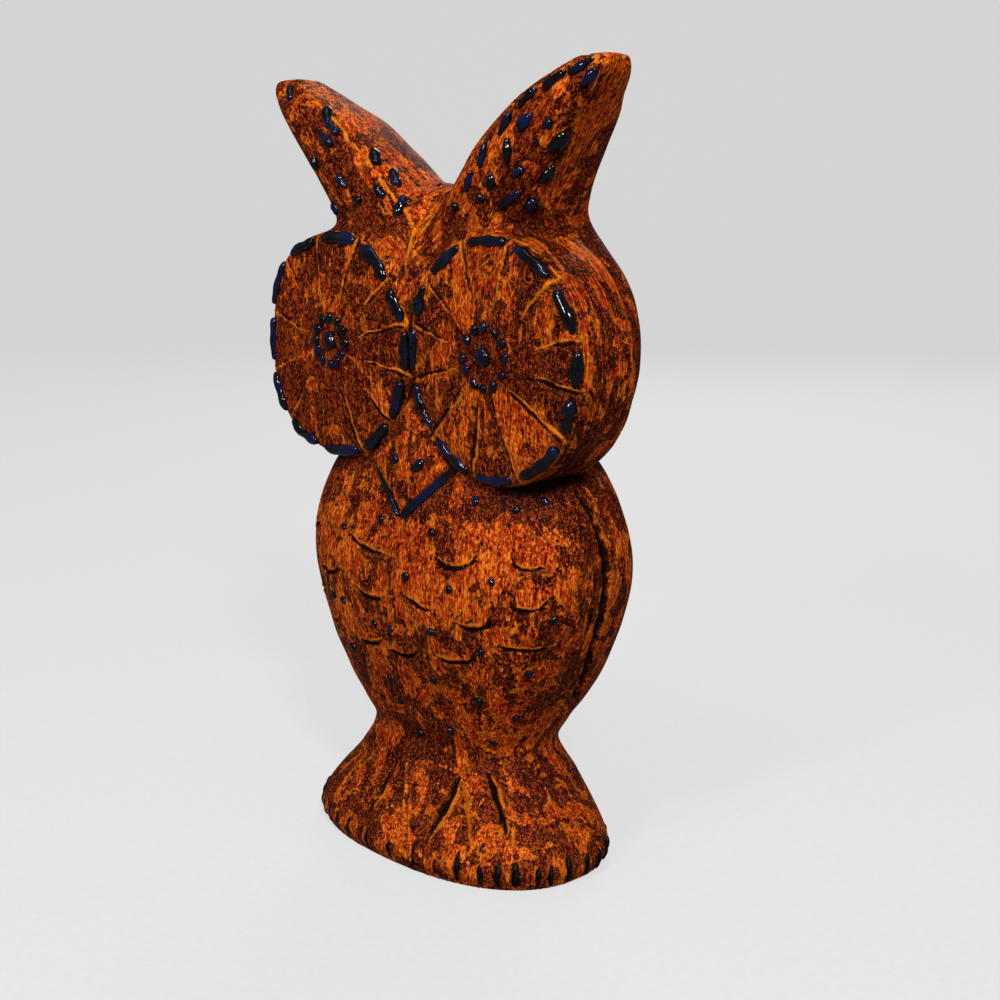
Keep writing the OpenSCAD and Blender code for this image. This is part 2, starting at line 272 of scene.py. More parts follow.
def onto(field, p, rounds=4):
    """Moves points onto the skin of a field, each down its own slope."""
    for _ in range(rounds):
        way, steep = slope_of(field, p)
        p = p - way * np.clip(field(*p.T) / np.maximum(steep, 0.2), -1.5, 1.5)[:, None]
    return p


def skin_of(field, low, high, step):
    """A closed skin of quads round a field: one corner in each lattice cell that the skin passes
    through, at the middle of its crossings, and one face round each lattice edge that it cuts."""
    axes = [np.arange(a, b + step, step) for a, b in zip(low, high)]
    value = field(axes[0][:, None, None], axes[1][None, :, None], axes[2][None, None, :])
    value = np.broadcast_to(value, [len(a) for a in axes])
    inside = value < 0
    cells = tuple(n - 1 for n in value.shape)

    def corner(grid, o):
        """One corner of every cell, picked by its offset."""
        return grid[o[0]:cells[0] + o[0], o[1]:cells[1] + o[1], o[2]:cells[2] + o[2]]

    corners = list(np.ndindex(2, 2, 2))
    count = sum(corner(inside, o).astype(np.int8) for o in corners)
    crossed = (count > 0) & (count < 8)
    where = np.argwhere(crossed)
    index = np.full(cells, -1)
    index[crossed] = np.arange(len(where))
    total, hits = np.zeros((len(where), 3)), np.zeros(len(where))
    for axis in range(3):
        for o in corners:
            if o[axis]:
                continue
            far = tuple(1 if i == axis else v for i, v in enumerate(o))
            a, b = corner(value, o)[crossed], corner(value, far)[crossed]
            cuts = (a < 0) != (b < 0)
            place = np.tile(np.array(o, float), (len(where), 1))
            place[:, axis] = np.where(cuts, a / np.where(cuts, a - b, 1), 0)
            total[cuts] += place[cuts]
            hits[cuts] += 1
    points = np.array([a[0] for a in axes]) + step * (where + total / hits[:, None])
    faces = []
    for axis in range(3):
        ends = [slice(0, n - 1) if i == axis else slice(None) for i, n in enumerate(inside.shape)]
        starts = [slice(1, n) if i == axis else slice(None) for i, n in enumerate(inside.shape)]
        first = inside[tuple(ends)]
        edges = np.argwhere(first != inside[tuple(starts)])
        outward = first[tuple(edges.T)]
        b, c = np.eye(3, dtype=int)[(axis + 1) % 3], np.eye(3, dtype=int)[(axis + 2) % 3]
        quad = np.stack([index[tuple((edges - o).T)] for o in (0 * b, b, b + c, c)], axis=1)
        quad[~outward] = quad[~outward][:, ::-1]
        faces.append(quad)
    return points, np.concatenate(faces)


def eased(p, quads, rounds, share=0.5):
    """Each point moves part of the way to the middle of its neighbours along the face edges."""
    a = np.concatenate([quads[:, i] for i in range(4)])
    b = np.concatenate([quads[:, (i + 1) % 4] for i in range(4)])
    degree = np.bincount(a, minlength=len(p)).astype(float)
    for _ in range(rounds):
        mean = np.stack([np.bincount(a, weights=p[b, k], minlength=len(p)) for k in range(3)], axis=1)
        p = p + share * (mean / degree[:, None] - p)
    return p


def face_normals(p, quads):
    """Unit normals at the points, from the crossed diagonals of the faces round each."""
    n = np.cross(p[quads[:, 2]] - p[quads[:, 0]], p[quads[:, 3]] - p[quads[:, 1]])
    total = np.zeros_like(p)
    for k in range(4):
        for axis in range(3):
            total[:, axis] += np.bincount(quads[:, k], weights=n[:, axis], minlength=len(p))
    return total / np.maximum(np.linalg.norm(total, axis=1, keepdims=True), 1e-9)


# ------------------------------ knife cuts


def in_front(x, z):
    """Points in front of the figure, from rows of X and Z."""
    return np.stack([x, np.full(len(x), FRONT_Y), z], axis=1)


def straight(a, b, count=6):
    """Evenly spaced points from a to b."""
    t = np.linspace(0, 1, count)[:, None]
    return np.asarray(a, float) * (1 - t) + np.asarray(b, float) * t


def arc_points(x, z, half, drop, lean, count=7):
    """A shallow U in front: z rises with the square of the distance from its lowest point."""
    t = np.linspace(-1, 1, count)
    return in_front(x + half * t, z + drop * t * t + lean * t)


def pressed(points, field=owl_field, way=(0, 1, 0)):
    """Points carried along one direction until they meet the skin."""
    p = np.array(points, float)
    way = np.array(way, float)
    for _ in range(60):
        p = p + way * (field(*p.T) * 0.6)[:, None]
    return p


def disc_points(side, angles, radii):
    """Points in front of a disc, from angles in degrees and radii."""
    a = np.radians(np.asarray(angles, float))
    r = np.asarray(radii, float) * disc_swell(side, np.cos(a), np.sin(a))
    return in_front(side * DISC_X + r * np.cos(a), DISC_Z + r * np.sin(a))


def all_cuts(hem):
    """Every knife cut: points on the skin, half width, depth, and how much dark paint is left in it
    and how much light paint on its edges."""
    cuts = []
    for side, table in ((LEFT, LEFT_CUTS), (RIGHT, RIGHT_CUTS)):
        for angle, start, half in table:
            bow = 1.5 * math.sin(angle * 1.7)
            line = disc_points(side, [angle + bow] + [angle] * 3, [start, (start + 34) / 2, 33.5, 35.6])
            cuts.append((pressed(line), half, 0.45, 0.9, 1.0))
    for scallop in SCALLOPS:
        cuts.append((pressed(arc_points(*scallop)), 0.85, 0.8, 1.0, 0.75))
    for i, (x, z, half, drop, lean) in enumerate(SCALLOPS):
        for end in ((1,), (-1, 1), (-1,))[i % 3]:
            tip = np.array([x + end * half, FRONT_Y, z + drop + end * lean])
            nick = straight(tip + (-end * 1.6, 0, -1.0), tip + (end * 0.6, 0, 2.2 + 0.3 * (i % 4)), 4)
            cuts.append((pressed(nick), 0.5, 0.5, 0.9, 0.9))
    for x0, z0, x1, z1, half, dark in TOE_CUTS:
        t = np.linspace(0, 1, 5)
        line = in_front(x0 + (x1 - x0) * t, z0 + (z1 - z0) * t)
        cuts.append((pressed(line), half * 0.75, half * 1.1, dark, 0.8))
    cuts += [(path, half, 0.35, 1.0, 0.3) for path, half in hem]
    for side in (LEFT, RIGHT):
        groove = wing_path(side)
        cuts.append((groove, 1.35, 1.5, 0.95, 0.5))
        beside = onto(body_field, groove[2:-3] - np.array([0, 4.2, 0]), 8)
        cuts.append((beside, 0.8, 0.5, 0.8, 0.5))
    return cuts


def round_slice(cut, turn, roundness):
    """X from the middle, and Y, at one angle round level slices."""
    c, s = math.cos(turn), math.sin(turn)
    power = 2 / roundness
    return (cut[1] * math.copysign(abs(c) ** power, c),
            cut[3] + cut[2] * math.copysign(abs(s) ** power, s))


def hem_paths():
    """The strokes round the hem: their points on the foot, and their half widths."""
    strokes = []
    for i in range(HEM_STROKES):
        turn = 2 * math.pi * (i + 0.5 + rng.uniform(-0.2, 0.2)) / HEM_STROKES
        z = np.linspace(rng.uniform(1.7, 2.4), rng.uniform(6.4, 9.6), 5)
        x, y = round_slice(rows_at(BODY, z), turn, FOOT_ROUNDNESS)
        strokes.append((onto(body_field, np.stack([x, y, z], axis=1)), rng.uniform(0.8, 1.2)))
    return strokes


def ear_corner(side, z, turn):
    """Points up the corner of an ear, at one angle round its slices."""
    cut = rows_at(EAR, z)
    x, y = round_slice(cut, math.radians(turn), EAR_ROUNDNESS)
    return onto(owl_field, np.stack([side * (cut[4] + x), y, cut[0]], axis=1))


def all_ridges():
    """Every ridge as points on the skin, with its half width."""
    ridges = []
    for corners, half in RIDGES:
        ridges.append((pressed(in_front(*np.array(corners, float).T)), half))
    for side, low, half in ((RIGHT, 200, 0.8), (LEFT, 212, 0.5)):
        ridges.append((ear_corner(side, np.linspace(low, 238, 12), RIDGE_TURN), half))
    for side, table in ((LEFT, LEFT_CUTS), (RIGHT, RIGHT_CUTS)):
        rim = disc_points(side, np.linspace(0, 360, 49), DISC_R - 0.7)
        ridges.append((pressed(rim), 0.5))
        for angle, _, half in table:
            gap = disc_points(side, [angle + 1.5] * 3, [29, 32.5, 35.8])
            ridges.append((pressed(gap), 1.35 * half))
    return ridges


def wing_front(z):
    """Y of the wing's front edge: it bows back at its middle and drifts back towards the waist."""
    return 2.0 + 0.0022 * (88 - z) ** 2 * np.where(z > 88, -2.6, 1) + 0.2 * np.sin(z / 6)


def wing_lift(p, normal):
    """The wing stands 0.9 mm proud just behind its front edge, and sinks back to the flank by 26 mm."""
    behind = p[:, 1] - wing_front(p[:, 2])
    ledge = smooth_step(0, 1.2, behind) * (1 - smooth_step(6, 26, behind))
    return 0.9 * ledge * smooth_step(0.4, 0.8, np.abs(normal[:, 0])) * smooth_step(46, 62, p[:, 2])


def wing_path(side):
    """The line down a flank where the wing begins: it drifts back towards the waist."""
    z = WING_HEIGHTS
    half_w, y = rows_at(BODY, z)[1], wing_front(z)
    return pressed(np.stack([side * (half_w + 20), y, z], axis=1), body_field, (-side, 0, 0))


def nearest_cut(p, cuts):
    """For each point: distance to the nearest cut over that cut's own half width there, and that cut's
    depth, ink, burr and lead, which is which side of it the point is on.  A ridge has none of these.
    A cut narrows towards both ends with a low power of a parabola."""
    best = np.full(len(p), FAR_RATIO)
    kind = np.zeros((len(p), 4))
    wander = np.stack([lumps(p, 4.0, k) for k in (3, 4, 5)], axis=1) * 0.5
    q = p + wander
    swell = 1 + 0.4 * lumps(p, 3.0, 6)
    for points, half, *looks in cuts:
        reach = half * FAR_RATIO + 1
        close = np.all((q > points.min(0) - reach) & (q < points.max(0) + reach), axis=1)
        where = np.flatnonzero(close)
        if not len(where):
            continue
        v = q[where]
        ratio, lead = np.full(len(where), FAR_RATIO), np.zeros(len(where))
        parts = len(points) - 1
        for i in range(parts):
            a, ab = points[i], points[i + 1] - points[i]
            t = np.clip((v - a) @ ab / (ab @ ab), 0, 1)
            gap = np.linalg.norm(v - a - t[:, None] * ab, axis=1)
            along = (i + t) / parts
            width = half * np.maximum(4 * along * (1 - along), 0.02) ** 0.3 * swell[where]
            turn = ab[0] * (v - a)[:, 2] - ab[2] * (v - a)[:, 0]
            above = np.clip(turn / (np.linalg.norm(ab) * width), -1, 1)
            lead = np.where(gap / width < ratio, above, lead)
            ratio = np.minimum(ratio, gap / width)
        nearer = ratio < best[where]
        best[where[nearer]] = ratio[nearer]
        kind[where[nearer], :3] = looks or 0.0
        kind[where[nearer], 3] = lead[nearer]
    return best, kind


def cut_profile(ratio):
    """How far the knife lowers the skin, from 1 at the middle of a cut to 0 at its edge, less the burr
    that it throws up just outside."""
    trough = (1 - np.clip(ratio, 0, 1) ** 2) ** 1.5
    burr = np.exp(-((ratio - 1.35) / 0.28) ** 2)
    return trough - 0.28 * burr


# ------------------------------ the lie of the brush


def brush_lie(p, on_head):
    """Coordinates in mm that are squeezed along the brush stroke.  Strokes run up the body and the
    faces of the discs, round the rims and the skull behind them, and up each ear."""
    squeeze, round_squeeze = 0.16, 0.09
    x, y, z = p.T
    lie = np.stack([x, y, z * squeeze], axis=1)
    if not on_head:
        return lie
    side = np.sign(x)
    dx, dz = x - side * DISC_X, z - DISC_Z
    r, turn = np.hypot(dx, dz), np.arctan2(dz, dx * side)
    round_rim = np.stack([r, y, turn * DISC_R * round_squeeze + side * 40], axis=1)
    behind = (y > -DISC_FRONT + 1.0) & (r > DISC_R - 6) & (z < 196)
    lie = np.where(behind[:, None], round_rim, lie)
    ear_way = np.array([0.62, 0.0, 0.785])
    ear_across = np.array([0.785, 0.0, -0.62])
    ax = np.stack([np.abs(x), y, z], axis=1)
    up_ear = np.stack([ax @ ear_across, y, ax @ ear_way * squeeze + side * 20], axis=1)
    return np.where(((z > 194) & (r > DISC_R + 0.5))[:, None], up_ear, lie)


def paint_tone(p, normal, on_head):
    """How light the top coat is: wedges of the discs, dark irises, ear fronts and the breast, a little
    darker on the head behind the faces of the discs below the ears, and towards the bottom of the foot.
    Painted shade darkens the body just under the head and the inner flank of each ear.
    """
    x, y, z = p.T
    tone = np.full(len(p), 0.03)
    if on_head:
        side = np.sign(x)
        tone -= 0.07 * smooth_step(-22, -14, y) * smooth_step(196, 180, z)
        for s, cuts, wedges in ((LEFT, LEFT_CUTS, LEFT_WEDGES), (RIGHT, RIGHT_CUTS, RIGHT_WEDGES)):
            angle = np.degrees(np.arctan2(z - DISC_Z, x - s * DISC_X))
            r = np.hypot(x - s * DISC_X, z - DISC_Z)
            on_face = (side == s) & (r < DISC_R) & (normal[:, 1] < -0.5)
            top = cuts[0][0]
            down = (top - angle) % 360
            edges = np.array([(top - c[0]) % 360 for c in cuts] + [360.0])
            wedge = np.clip(np.searchsorted(edges, down, side="right") - 1, 0, len(wedges) - 1)
            tone = np.where(on_face, 1.3 * np.array(wedges)[wedge] - 0.05, tone)
            iris = np.hypot(x - s * DISC_X - IRIS_SHIFT[0], z - DISC_Z - IRIS_SHIFT[1])
            tone = np.where(on_face & (iris < IRIS_RING[s] + 1.5), -0.55, tone)
        up = smooth_step(188, 200, z)
        front = smooth_step(0.3, 0.8, -normal[:, 1])
        inner = smooth_step(0.1, 0.6, -normal[:, 0] * side)
        # The darker ear fronts are paint; the slight darkening of the inner flank of each ear is painted
        # shade.
        tone = tone + up * (-0.08 * front - 0.02 * inner)
    else:
        # The breast is painted lighter; the darkening just under the head is painted shade.
        tone = tone + 0.08 * smooth_step(68, 90, z) - 0.20 * smooth_step(104, 113, z)
        tone = tone - 0.06 * smooth_step(36, 20, z)
    return tone


def store(mesh, name, values):
    """Stores one number or one vector at every point of a mesh."""
    data = np.ascontiguousarray(values, np.float32)
    kind, key = ("FLOAT", "value") if data.ndim == 1 else ("FLOAT_VECTOR", "vector")
    mesh.attributes.new(name, kind, "POINT").data.foreach_set(key, data.ravel())


def new_object(name, data):
    """An object that is linked into the scene."""
    thing = bpy.data.objects.new(name, data)
    bpy.context.scene.collection.objects.link(thing)
    return thing


def new_piece(name, points_mm, quads, material, node):
    """A smooth-shaded mesh object at the origin that stands for a CAD node."""
    mesh = bpy.data.meshes.new(name)
    mesh.vertices.add(len(points_mm))
    mesh.vertices.foreach_set("co", np.ascontiguousarray(points_mm * MM * GROW, np.float32).ravel())
    mesh.loops.add(quads.size)
    mesh.loops.foreach_set("vertex_index", quads.astype(np.int32).ravel())
    mesh.polygons.add(len(quads))
    mesh.polygons.foreach_set("loop_start", np.arange(0, quads.size, 4, dtype=np.int32))
    mesh.update(calc_edges=True)
    mesh.validate()
    mesh.shade_smooth()
    mesh.materials.append(material)
    piece = new_object(name, mesh)
    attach(piece, "root")
    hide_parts(node)
    return piece


def carve(name, field, lattice, cuts, ridges, material, on_head):
    """Skins a field, evens out the quads, presses the cuts in and stores what the paint needs."""
    p, quads = skin_of(field, *lattice, FULL_STEP)
    for _ in range(3):
        p = onto(field, eased(p, quads, 2), 2)
    if not on_head:
        p[:, 2] = np.maximum(p[:, 2], 0)
    normal = face_normals(p, quads)
    ratio, kind = nearest_cut(p, cuts)
    # How enclosed each point is: this drives the painted shade in creases and hollows.
    crease_shade = np.mean([1 - owl_field(*(p + normal * reach).T) / reach for reach in CREASE_SHADE_REACHES], axis=0)
    edge = 1 + owl_field(*(p - normal * EDGE_REACH).T) / EDGE_REACH
    uneven = 0.28 * lumps(p, 16.0, 1) + 0.14 * lumps(p, 6.0, 2)
    uneven *= 0.25 + 0.75 * smooth_step(6, 20, p[:, 2])
    ridge = np.exp(-(nearest_cut(p, ridges)[0] / 1.1) ** 2)
    lift = uneven - kind[:, 0] * cut_profile(ratio) + 0.3 * ridge
    if not on_head:
        lift += wing_lift(p, normal)
    lift = np.where(p[:, 2] < 0.6, 0, lift)
    moved = p + normal * lift[:, None]
    piece = new_piece(name, moved, quads, material, "carved_block")
    for word, values in {
            "cut": ratio, "ink": kind[:, 1], "burr": kind[:, 2], "lead": kind[:, 3], "ridge": ridge,
            "crease_shade": np.clip(crease_shade, 0, 2), "edge": np.clip(edge, 0, 1),
            "tone": paint_tone(p, normal, on_head), "brush": brush_lie(p, on_head)}.items():
        store(piece.data, word, values)


# ------------------------------ beads of paint

# Rings of points along a bead, and points round each ring.
STATIONS, AROUND = 22, 14


def bead_skin(path, half_w, height, taper=0.0, field=owl_field):
    """One bead: an oval profile carried along a path on the skin.  Its width follows a superellipse
    from end to end, so a short bead is a round drop and a long one a bar with round ends."""
    path = np.asarray(path, float)
    gaps = np.linalg.norm(np.diff(path, axis=0), axis=1)
    along = np.concatenate([[0], np.cumsum(gaps)])
    length = max(along[-1], 1e-6)
    reach = length / 2 + half_w * 0.8
    u = np.sin(np.linspace(-math.pi / 2, math.pi / 2, STATIONS))
    s = length / 2 + u * reach
    inner = np.clip(s, 0, length)
    middle = np.stack([np.interp(inner, along, path[:, k]) for k in range(3)], axis=1)
    first, last = path[1] - path[0], path[-1] - path[-2]
    first, last = first / np.linalg.norm(first), last / np.linalg.norm(last)
    middle += np.minimum(s, 0)[:, None] * first + np.maximum(s - length, 0)[:, None] * last
    middle = onto(field, middle, 3)
    up = slope_of(field, middle, 0.6)[0]
    way = np.gradient(middle, axis=0)
    way /= np.maximum(np.linalg.norm(way, axis=1, keepdims=True), 1e-9)
    across = np.cross(way, up)
    across /= np.maximum(np.linalg.norm(across, axis=1, keepdims=True), 1e-9)
    blunt = 2 + 0.5 * min(max(reach / half_w - 1.5, 0), 3)
    outline = (1 - np.abs(u) ** blunt) ** (1 / blunt)
    wave = rng.uniform(0, 6.28, 3)
    uneven = 1 + 0.14 * np.sin(3.1 * u * reach / (half_w * 2) + wave[0]) + 0.05 * np.sin(7 * u + wave[1])
    outline = np.maximum(outline * uneven * (1 - taper * u), 0)
    drift = 0.16 * half_w * np.sin(2.4 * u + wave[2])
    turn = np.linspace(0, 2 * math.pi, AROUND, endpoint=False)
    wide = (half_w * outline)[:, None] * np.cos(turn) + drift[:, None]
    high = (height * outline ** 0.75)[:, None] * (np.sin(turn) + 0.12) * np.where(np.sin(turn) > 0, 1, 0.7)
    rings = middle[:, None] + wide[..., None] * across[:, None] + high[..., None] * up[:, None]
    rings[0], rings[-1] = rings[0].mean(0), rings[-1].mean(0)
    return rings


def ring_quads(stations, around, first):
    """Faces between neighbouring rings of points, closed the short way round."""
    i, k = np.meshgrid(np.arange(stations - 1), np.arange(around), indexing="ij")
    a, b = i * around + k, i * around + (k + 1) % around
    return np.stack([a, b, b + around, a + around], axis=-1).reshape(-1, 4) + first


def bead_group(node, rings_list, material):
    """All the beads of one node as one piece; each bead's two poles are merged to closed points."""
    points = np.concatenate([r.reshape(-1, 3) for r in rings_list])
    size = STATIONS * AROUND
    quads = np.concatenate([ring_quads(STATIONS, AROUND, i * size) for i in range(len(rings_list))])
    piece = new_piece(node + "_enamel", points, quads, material, node)
    close_poles(piece.data, 1e-7)


def close_poles(mesh, gap):
    """Merges the points that lie together at the poles and makes every face point outwards."""
    work = bmesh.new()
    work.from_mesh(mesh)
    bmesh.ops.remove_doubles(work, verts=work.verts, dist=gap)
    bmesh.ops.dissolve_degenerate(work, edges=work.edges, dist=gap)
    bmesh.ops.recalc_face_normals(work, faces=work.faces)
    work.to_mesh(mesh)
    work.free()
    mesh.shade_smooth()
    mesh.update()


def flat_stroke(x, z, length, lean, count=6):
    """A stroke of its true length on the skin, round the place that lies behind X and Z."""
    a = math.radians(lean)
    middle = pressed([[x, FRONT_Y, z]])
    up = slope_of(owl_field, middle, 0.6)[0][0]
    way = np.array([math.sin(a), 0, math.cos(a)])
    way -= up * (way @ up)
    reach = way / np.linalg.norm(way) * max(length, 0.6) / 2
    return onto(owl_field, straight(middle[0] - reach, middle[0] + reach, count), 3)


# Strokes on the front of each ear: X, Z, length, lean from upright, and half width.
LEFT_SPOTS = [
    (69.4, 233.3, 4.6, 64, 1.6), (49.2, 222.6, 3.6, 45, 2.1), (42.2, 215, 5, 6, 1.7),
    (52.6, 217.1, 0, 0, 1.2), (57, 217.1, 4.6, 66, 2.4), (57, 222, 1.5, 70, 1.5), (45.3, 209.5, 2.6, 50, 1.6),
    (51, 209.1, 3.6, 68, 2.1), (34.9, 207.2, 2.4, 28, 1.9), (30.2, 202.5, 1.8, 85, 1.5),
    (40.5, 202, 7, 58, 1.5), (45, 200.8, 0.8, 60, 2.6)]
RIGHT_SPOTS = [
    (-60.8, 235.3, 4, -25, 1.7), (-41, 227.3, 4.6, -24, 2.1), (-39.5, 220.5, 6, -55, 1.6),
    (-22.8, 214.8, 4.4, -6, 2.3), (-45.5, 213, 2.4, -12, 1.6), (-15.6, 208.2, 4.6, -2, 2.1),
    (-32.4, 207.3, 3.2, -45, 1.7), (-26, 202, 2.2, -60, 1.6), (-38.4, 199.3, 2.4, -30, 1.7),
    (-9.4, 200.4, 4.4, 10, 2.1)]
# Strokes along the edge of each ear: on the left as above, on the right the heights each runs between.
LEFT_EDGE = [
    (18.8, 200, 0.8, 10, 1.6), (25.8, 207.5, 4.2, 20, 1.35), (32.4, 214.8, 6, 24, 1.45),
    (41.3, 222.4, 5.6, 31, 1.45), (49.3, 228.9, 6, 48, 1.4), (58.6, 233.4, 6, 52, 1.5),
    (67, 236.3, 6.4, 60, 1.5)]
RIGHT_EDGE = [(203, 205.5), (222, 225)]
# Angles round an ear's slices at which these strokes and the ridge beside them run.
EDGE_TURN, RIDGE_TURN = 232, 222
# Dots on the breast: X and Z.
BREAST_DOTS = [
    (-9, 105.5), (15, 105), (29.5, 116), (43, 115), (49, 117.5), (-27, 100.5), (6, 90.5),
    (25, 90), (40, 94.5), (-32.5, 77.5), (-26, 77), (-10, 72.5), (-1.5, 72.5), (17, 75.5),
    (35.5, 72.5), (-25, 61), (-6.5, 55), (15, 59.5), (46.5, 66.5), (31, 55.5), (38.5, 50.5),
    (2, 38), (17.5, 43), (54.5, 84), (-3.5, 48), (30, 41)]


def rim_dashes(side, cuts):
    """A broken ring round a disc: one bar between each cut and the next."""
    bars = []
    for i, (angle, *_) in enumerate(cuts):
        end = cuts[i + 1][0] if i + 1 < len(cuts) else cuts[0][0] - 360
        a, b = angle - rng.uniform(4.5, 7), end + rng.uniform(4.5, 7)
        radius = DISC_R - 2.4 + rng.uniform(-0.3, 0.4)
        path = pressed(disc_points(side, np.linspace(a, b, 9), radius))
        bars.append(bead_skin(path, rng.uniform(1.5, 2.1), rng.uniform(1.2, 1.5), rng.uniform(-0.2, 0.2)))
    return bars


def iris_dots(side):
    """A ring of small round drops round the pupil."""
    drops = []
    for i in range(IRIS_DOTS):
        a = 2 * math.pi * (i + rng.uniform(-0.12, 0.12)) / IRIS_DOTS
        x = side * DISC_X + IRIS_SHIFT[0] + IRIS_RING[side] * math.cos(a)
        z = DISC_Z + IRIS_SHIFT[1] + IRIS_RING[side] * math.sin(a)
        path = flat_stroke(x, z, rng.uniform(0.2, 1.0), -math.degrees(a), 4)
        drops.append(bead_skin(path, rng.uniform(1.2, 1.65) + (0.3 if side == RIGHT else 0), 1.0))
    return drops


def pupil(side):
    """One oval drop in the middle of the iris."""
    path = flat_stroke(side * DISC_X + IRIS_SHIFT[0], DISC_Z + IRIS_SHIFT[1], 1.4, -30 * side, 5)
    return [bead_skin(path, 2.7, 1.5)]


def beak_strokes():
    """The V that outlines the lower half of the beak."""
    strokes = []
    for side in (LEFT, RIGHT):
        ends = (side * 18.6, FRONT_Y, 124.5), (side * 1.4, FRONT_Y, 108.2)
        path = pressed(straight(*ends, 8))
        strokes.append(bead_skin(path, 1.55 + 0.25 * side, 1.2, -0.15 * side))
    return strokes


def nostrils():
    """A round drop and a slanting one."""
    return [bead_skin(flat_stroke(-3.2, 124.8, 0.8, 20, 4), 1.5, 1.0),
            bead_skin(flat_stroke(7.0, 124, 3.6, 48, 5), 1.6, 1.0)]


def ear_spots(spots):
    """Drops and strokes on the front of an ear."""
    return [bead_skin(flat_stroke(x, z, length, lean), 0.85 * half, 0.55 + 0.45 * half,
                      rng.choice([-1, 1]) * rng.uniform(0.15, 0.4)) for x, z, length, lean, half in spots]


def ear_edge(side, strokes):
    """Strokes along the inner front edge of an ear, just in front of its corner."""
    beads = []
    for low, high in strokes:
        corner = ear_corner(side, np.linspace(low, high, 6), EDGE_TURN)
        beads.append(bead_skin(corner + np.array([side * 1.3, 0, 0]), 1.35, 1.1, 0.15))
    return beads


def breast_dots():
    """Small round drops scattered over the breast."""
    return [bead_skin(flat_stroke(x, z, rng.uniform(0, 0.8), rng.uniform(-40, 40), 4),
                      rng.uniform(1.15, 1.6), rng.uniform(0.8, 1.0)) for x, z in BREAST_DOTS]


def hem_ticks(hem):
    """Short upright strokes all round the hem of the foot, laid in the shallow notches there."""
    inset = np.array([1, HEM_INSET, 1])
    return [bead_skin(path, 0.85 * half, 0.75, 0.1, body_field) * inset for path, half in hem]


def wing_line(side):
    """The long line down a flank, laid in the cut at the front of the wing."""
    path = wing_path(side)
    return [bead_skin(path[1:-1], 0.6, 0.5, 0.1, body_field) - np.array([side * LINE_SINK, 0, 0])]


# ------------------------------ materials


def linear(code):
    """An sRGB hex colour as linear RGBA."""
    value = np.array([int(code[i:i + 2], 16) / 255 for i in (1, 3, 5)])
    value = np.where(value <= 0.04045, value / 12.92, ((value + 0.055) / 1.055) ** 2.4)
    return (*value, 1.0)


def new_material(name):
    """An empty node material, its Principled shader and the place in the object that is shaded."""
    material = bpy.data.materials.new(name)
    material.use_nodes = True
    tree = material.node_tree
    tree.nodes.clear()
    output = tree.nodes.new("ShaderNodeOutputMaterial")
    shader = tree.nodes.new("ShaderNodeBsdfPrincipled")
    tree.links.new(shader.outputs[0], output.inputs["Surface"])
    return material, tree, shader, add(tree, "TexCoord", out="Object")


def add(tree, kind, settings=None, out=0, stops=(), **inputs):
    """Adds one node, sets its properties, the stops of its ramp, and its inputs, which are named or in0,
    in1, and gives one of its outputs.  A stop is a place and a colour or a grey."""
    node = tree.nodes.new("ShaderNode" + kind)
    for key, value in (settings or {}).items():
        setattr(node, key, value)
    for key, value in inputs.items():
        socket = node.inputs[int(key[2:])] if key[:2] == "in" and key[2:].isdigit() else node.inputs[key]
        if isinstance(value, bpy.types.NodeSocket):
            tree.links.new(value, socket)
        else:
            socket.default_value = value
    if stops:
        elements = node.color_ramp.elements
        while len(elements) < len(stops):
            elements.new(0.5)
        for element, (place, colour) in zip(elements, stops):
            element.position = place
            element.color = linear(colour) if isinstance(colour, str) else (colour, colour, colour, 1)
    return node.outputs[out]


def weighed(tree, *terms):
    """The sum of the terms, each a value times its factor, as a chain of nodes."""
    total = 0.0
    for value, factor in terms:
        total = add(tree, "Math", {"operation": "MULTIPLY_ADD"}, in0=value, in1=factor, in2=total)
    return total


# Settings of a node that multiplies two values, lays one colour over another, or shades a colour.
TIMES = {"operation": "MULTIPLY"}
OVER = {"data_type": "RGBA", "blend_type": "MIX"}
SHADE = {"data_type": "RGBA", "blend_type": "MULTIPLY"}


def lay_on(tree, shader, colour, roughness, relief, strength, depth):
    """Links a paint's colour and roughness to its shader, and raises its relief in metres."""
    bump = add(tree, "Bump", Strength=strength, Distance=depth, Height=relief)
    tree.links.new(colour, shader.inputs["Base Color"])
    tree.links.new(roughness, shader.inputs["Roughness"])
    tree.links.new(bump, shader.inputs["Normal"])


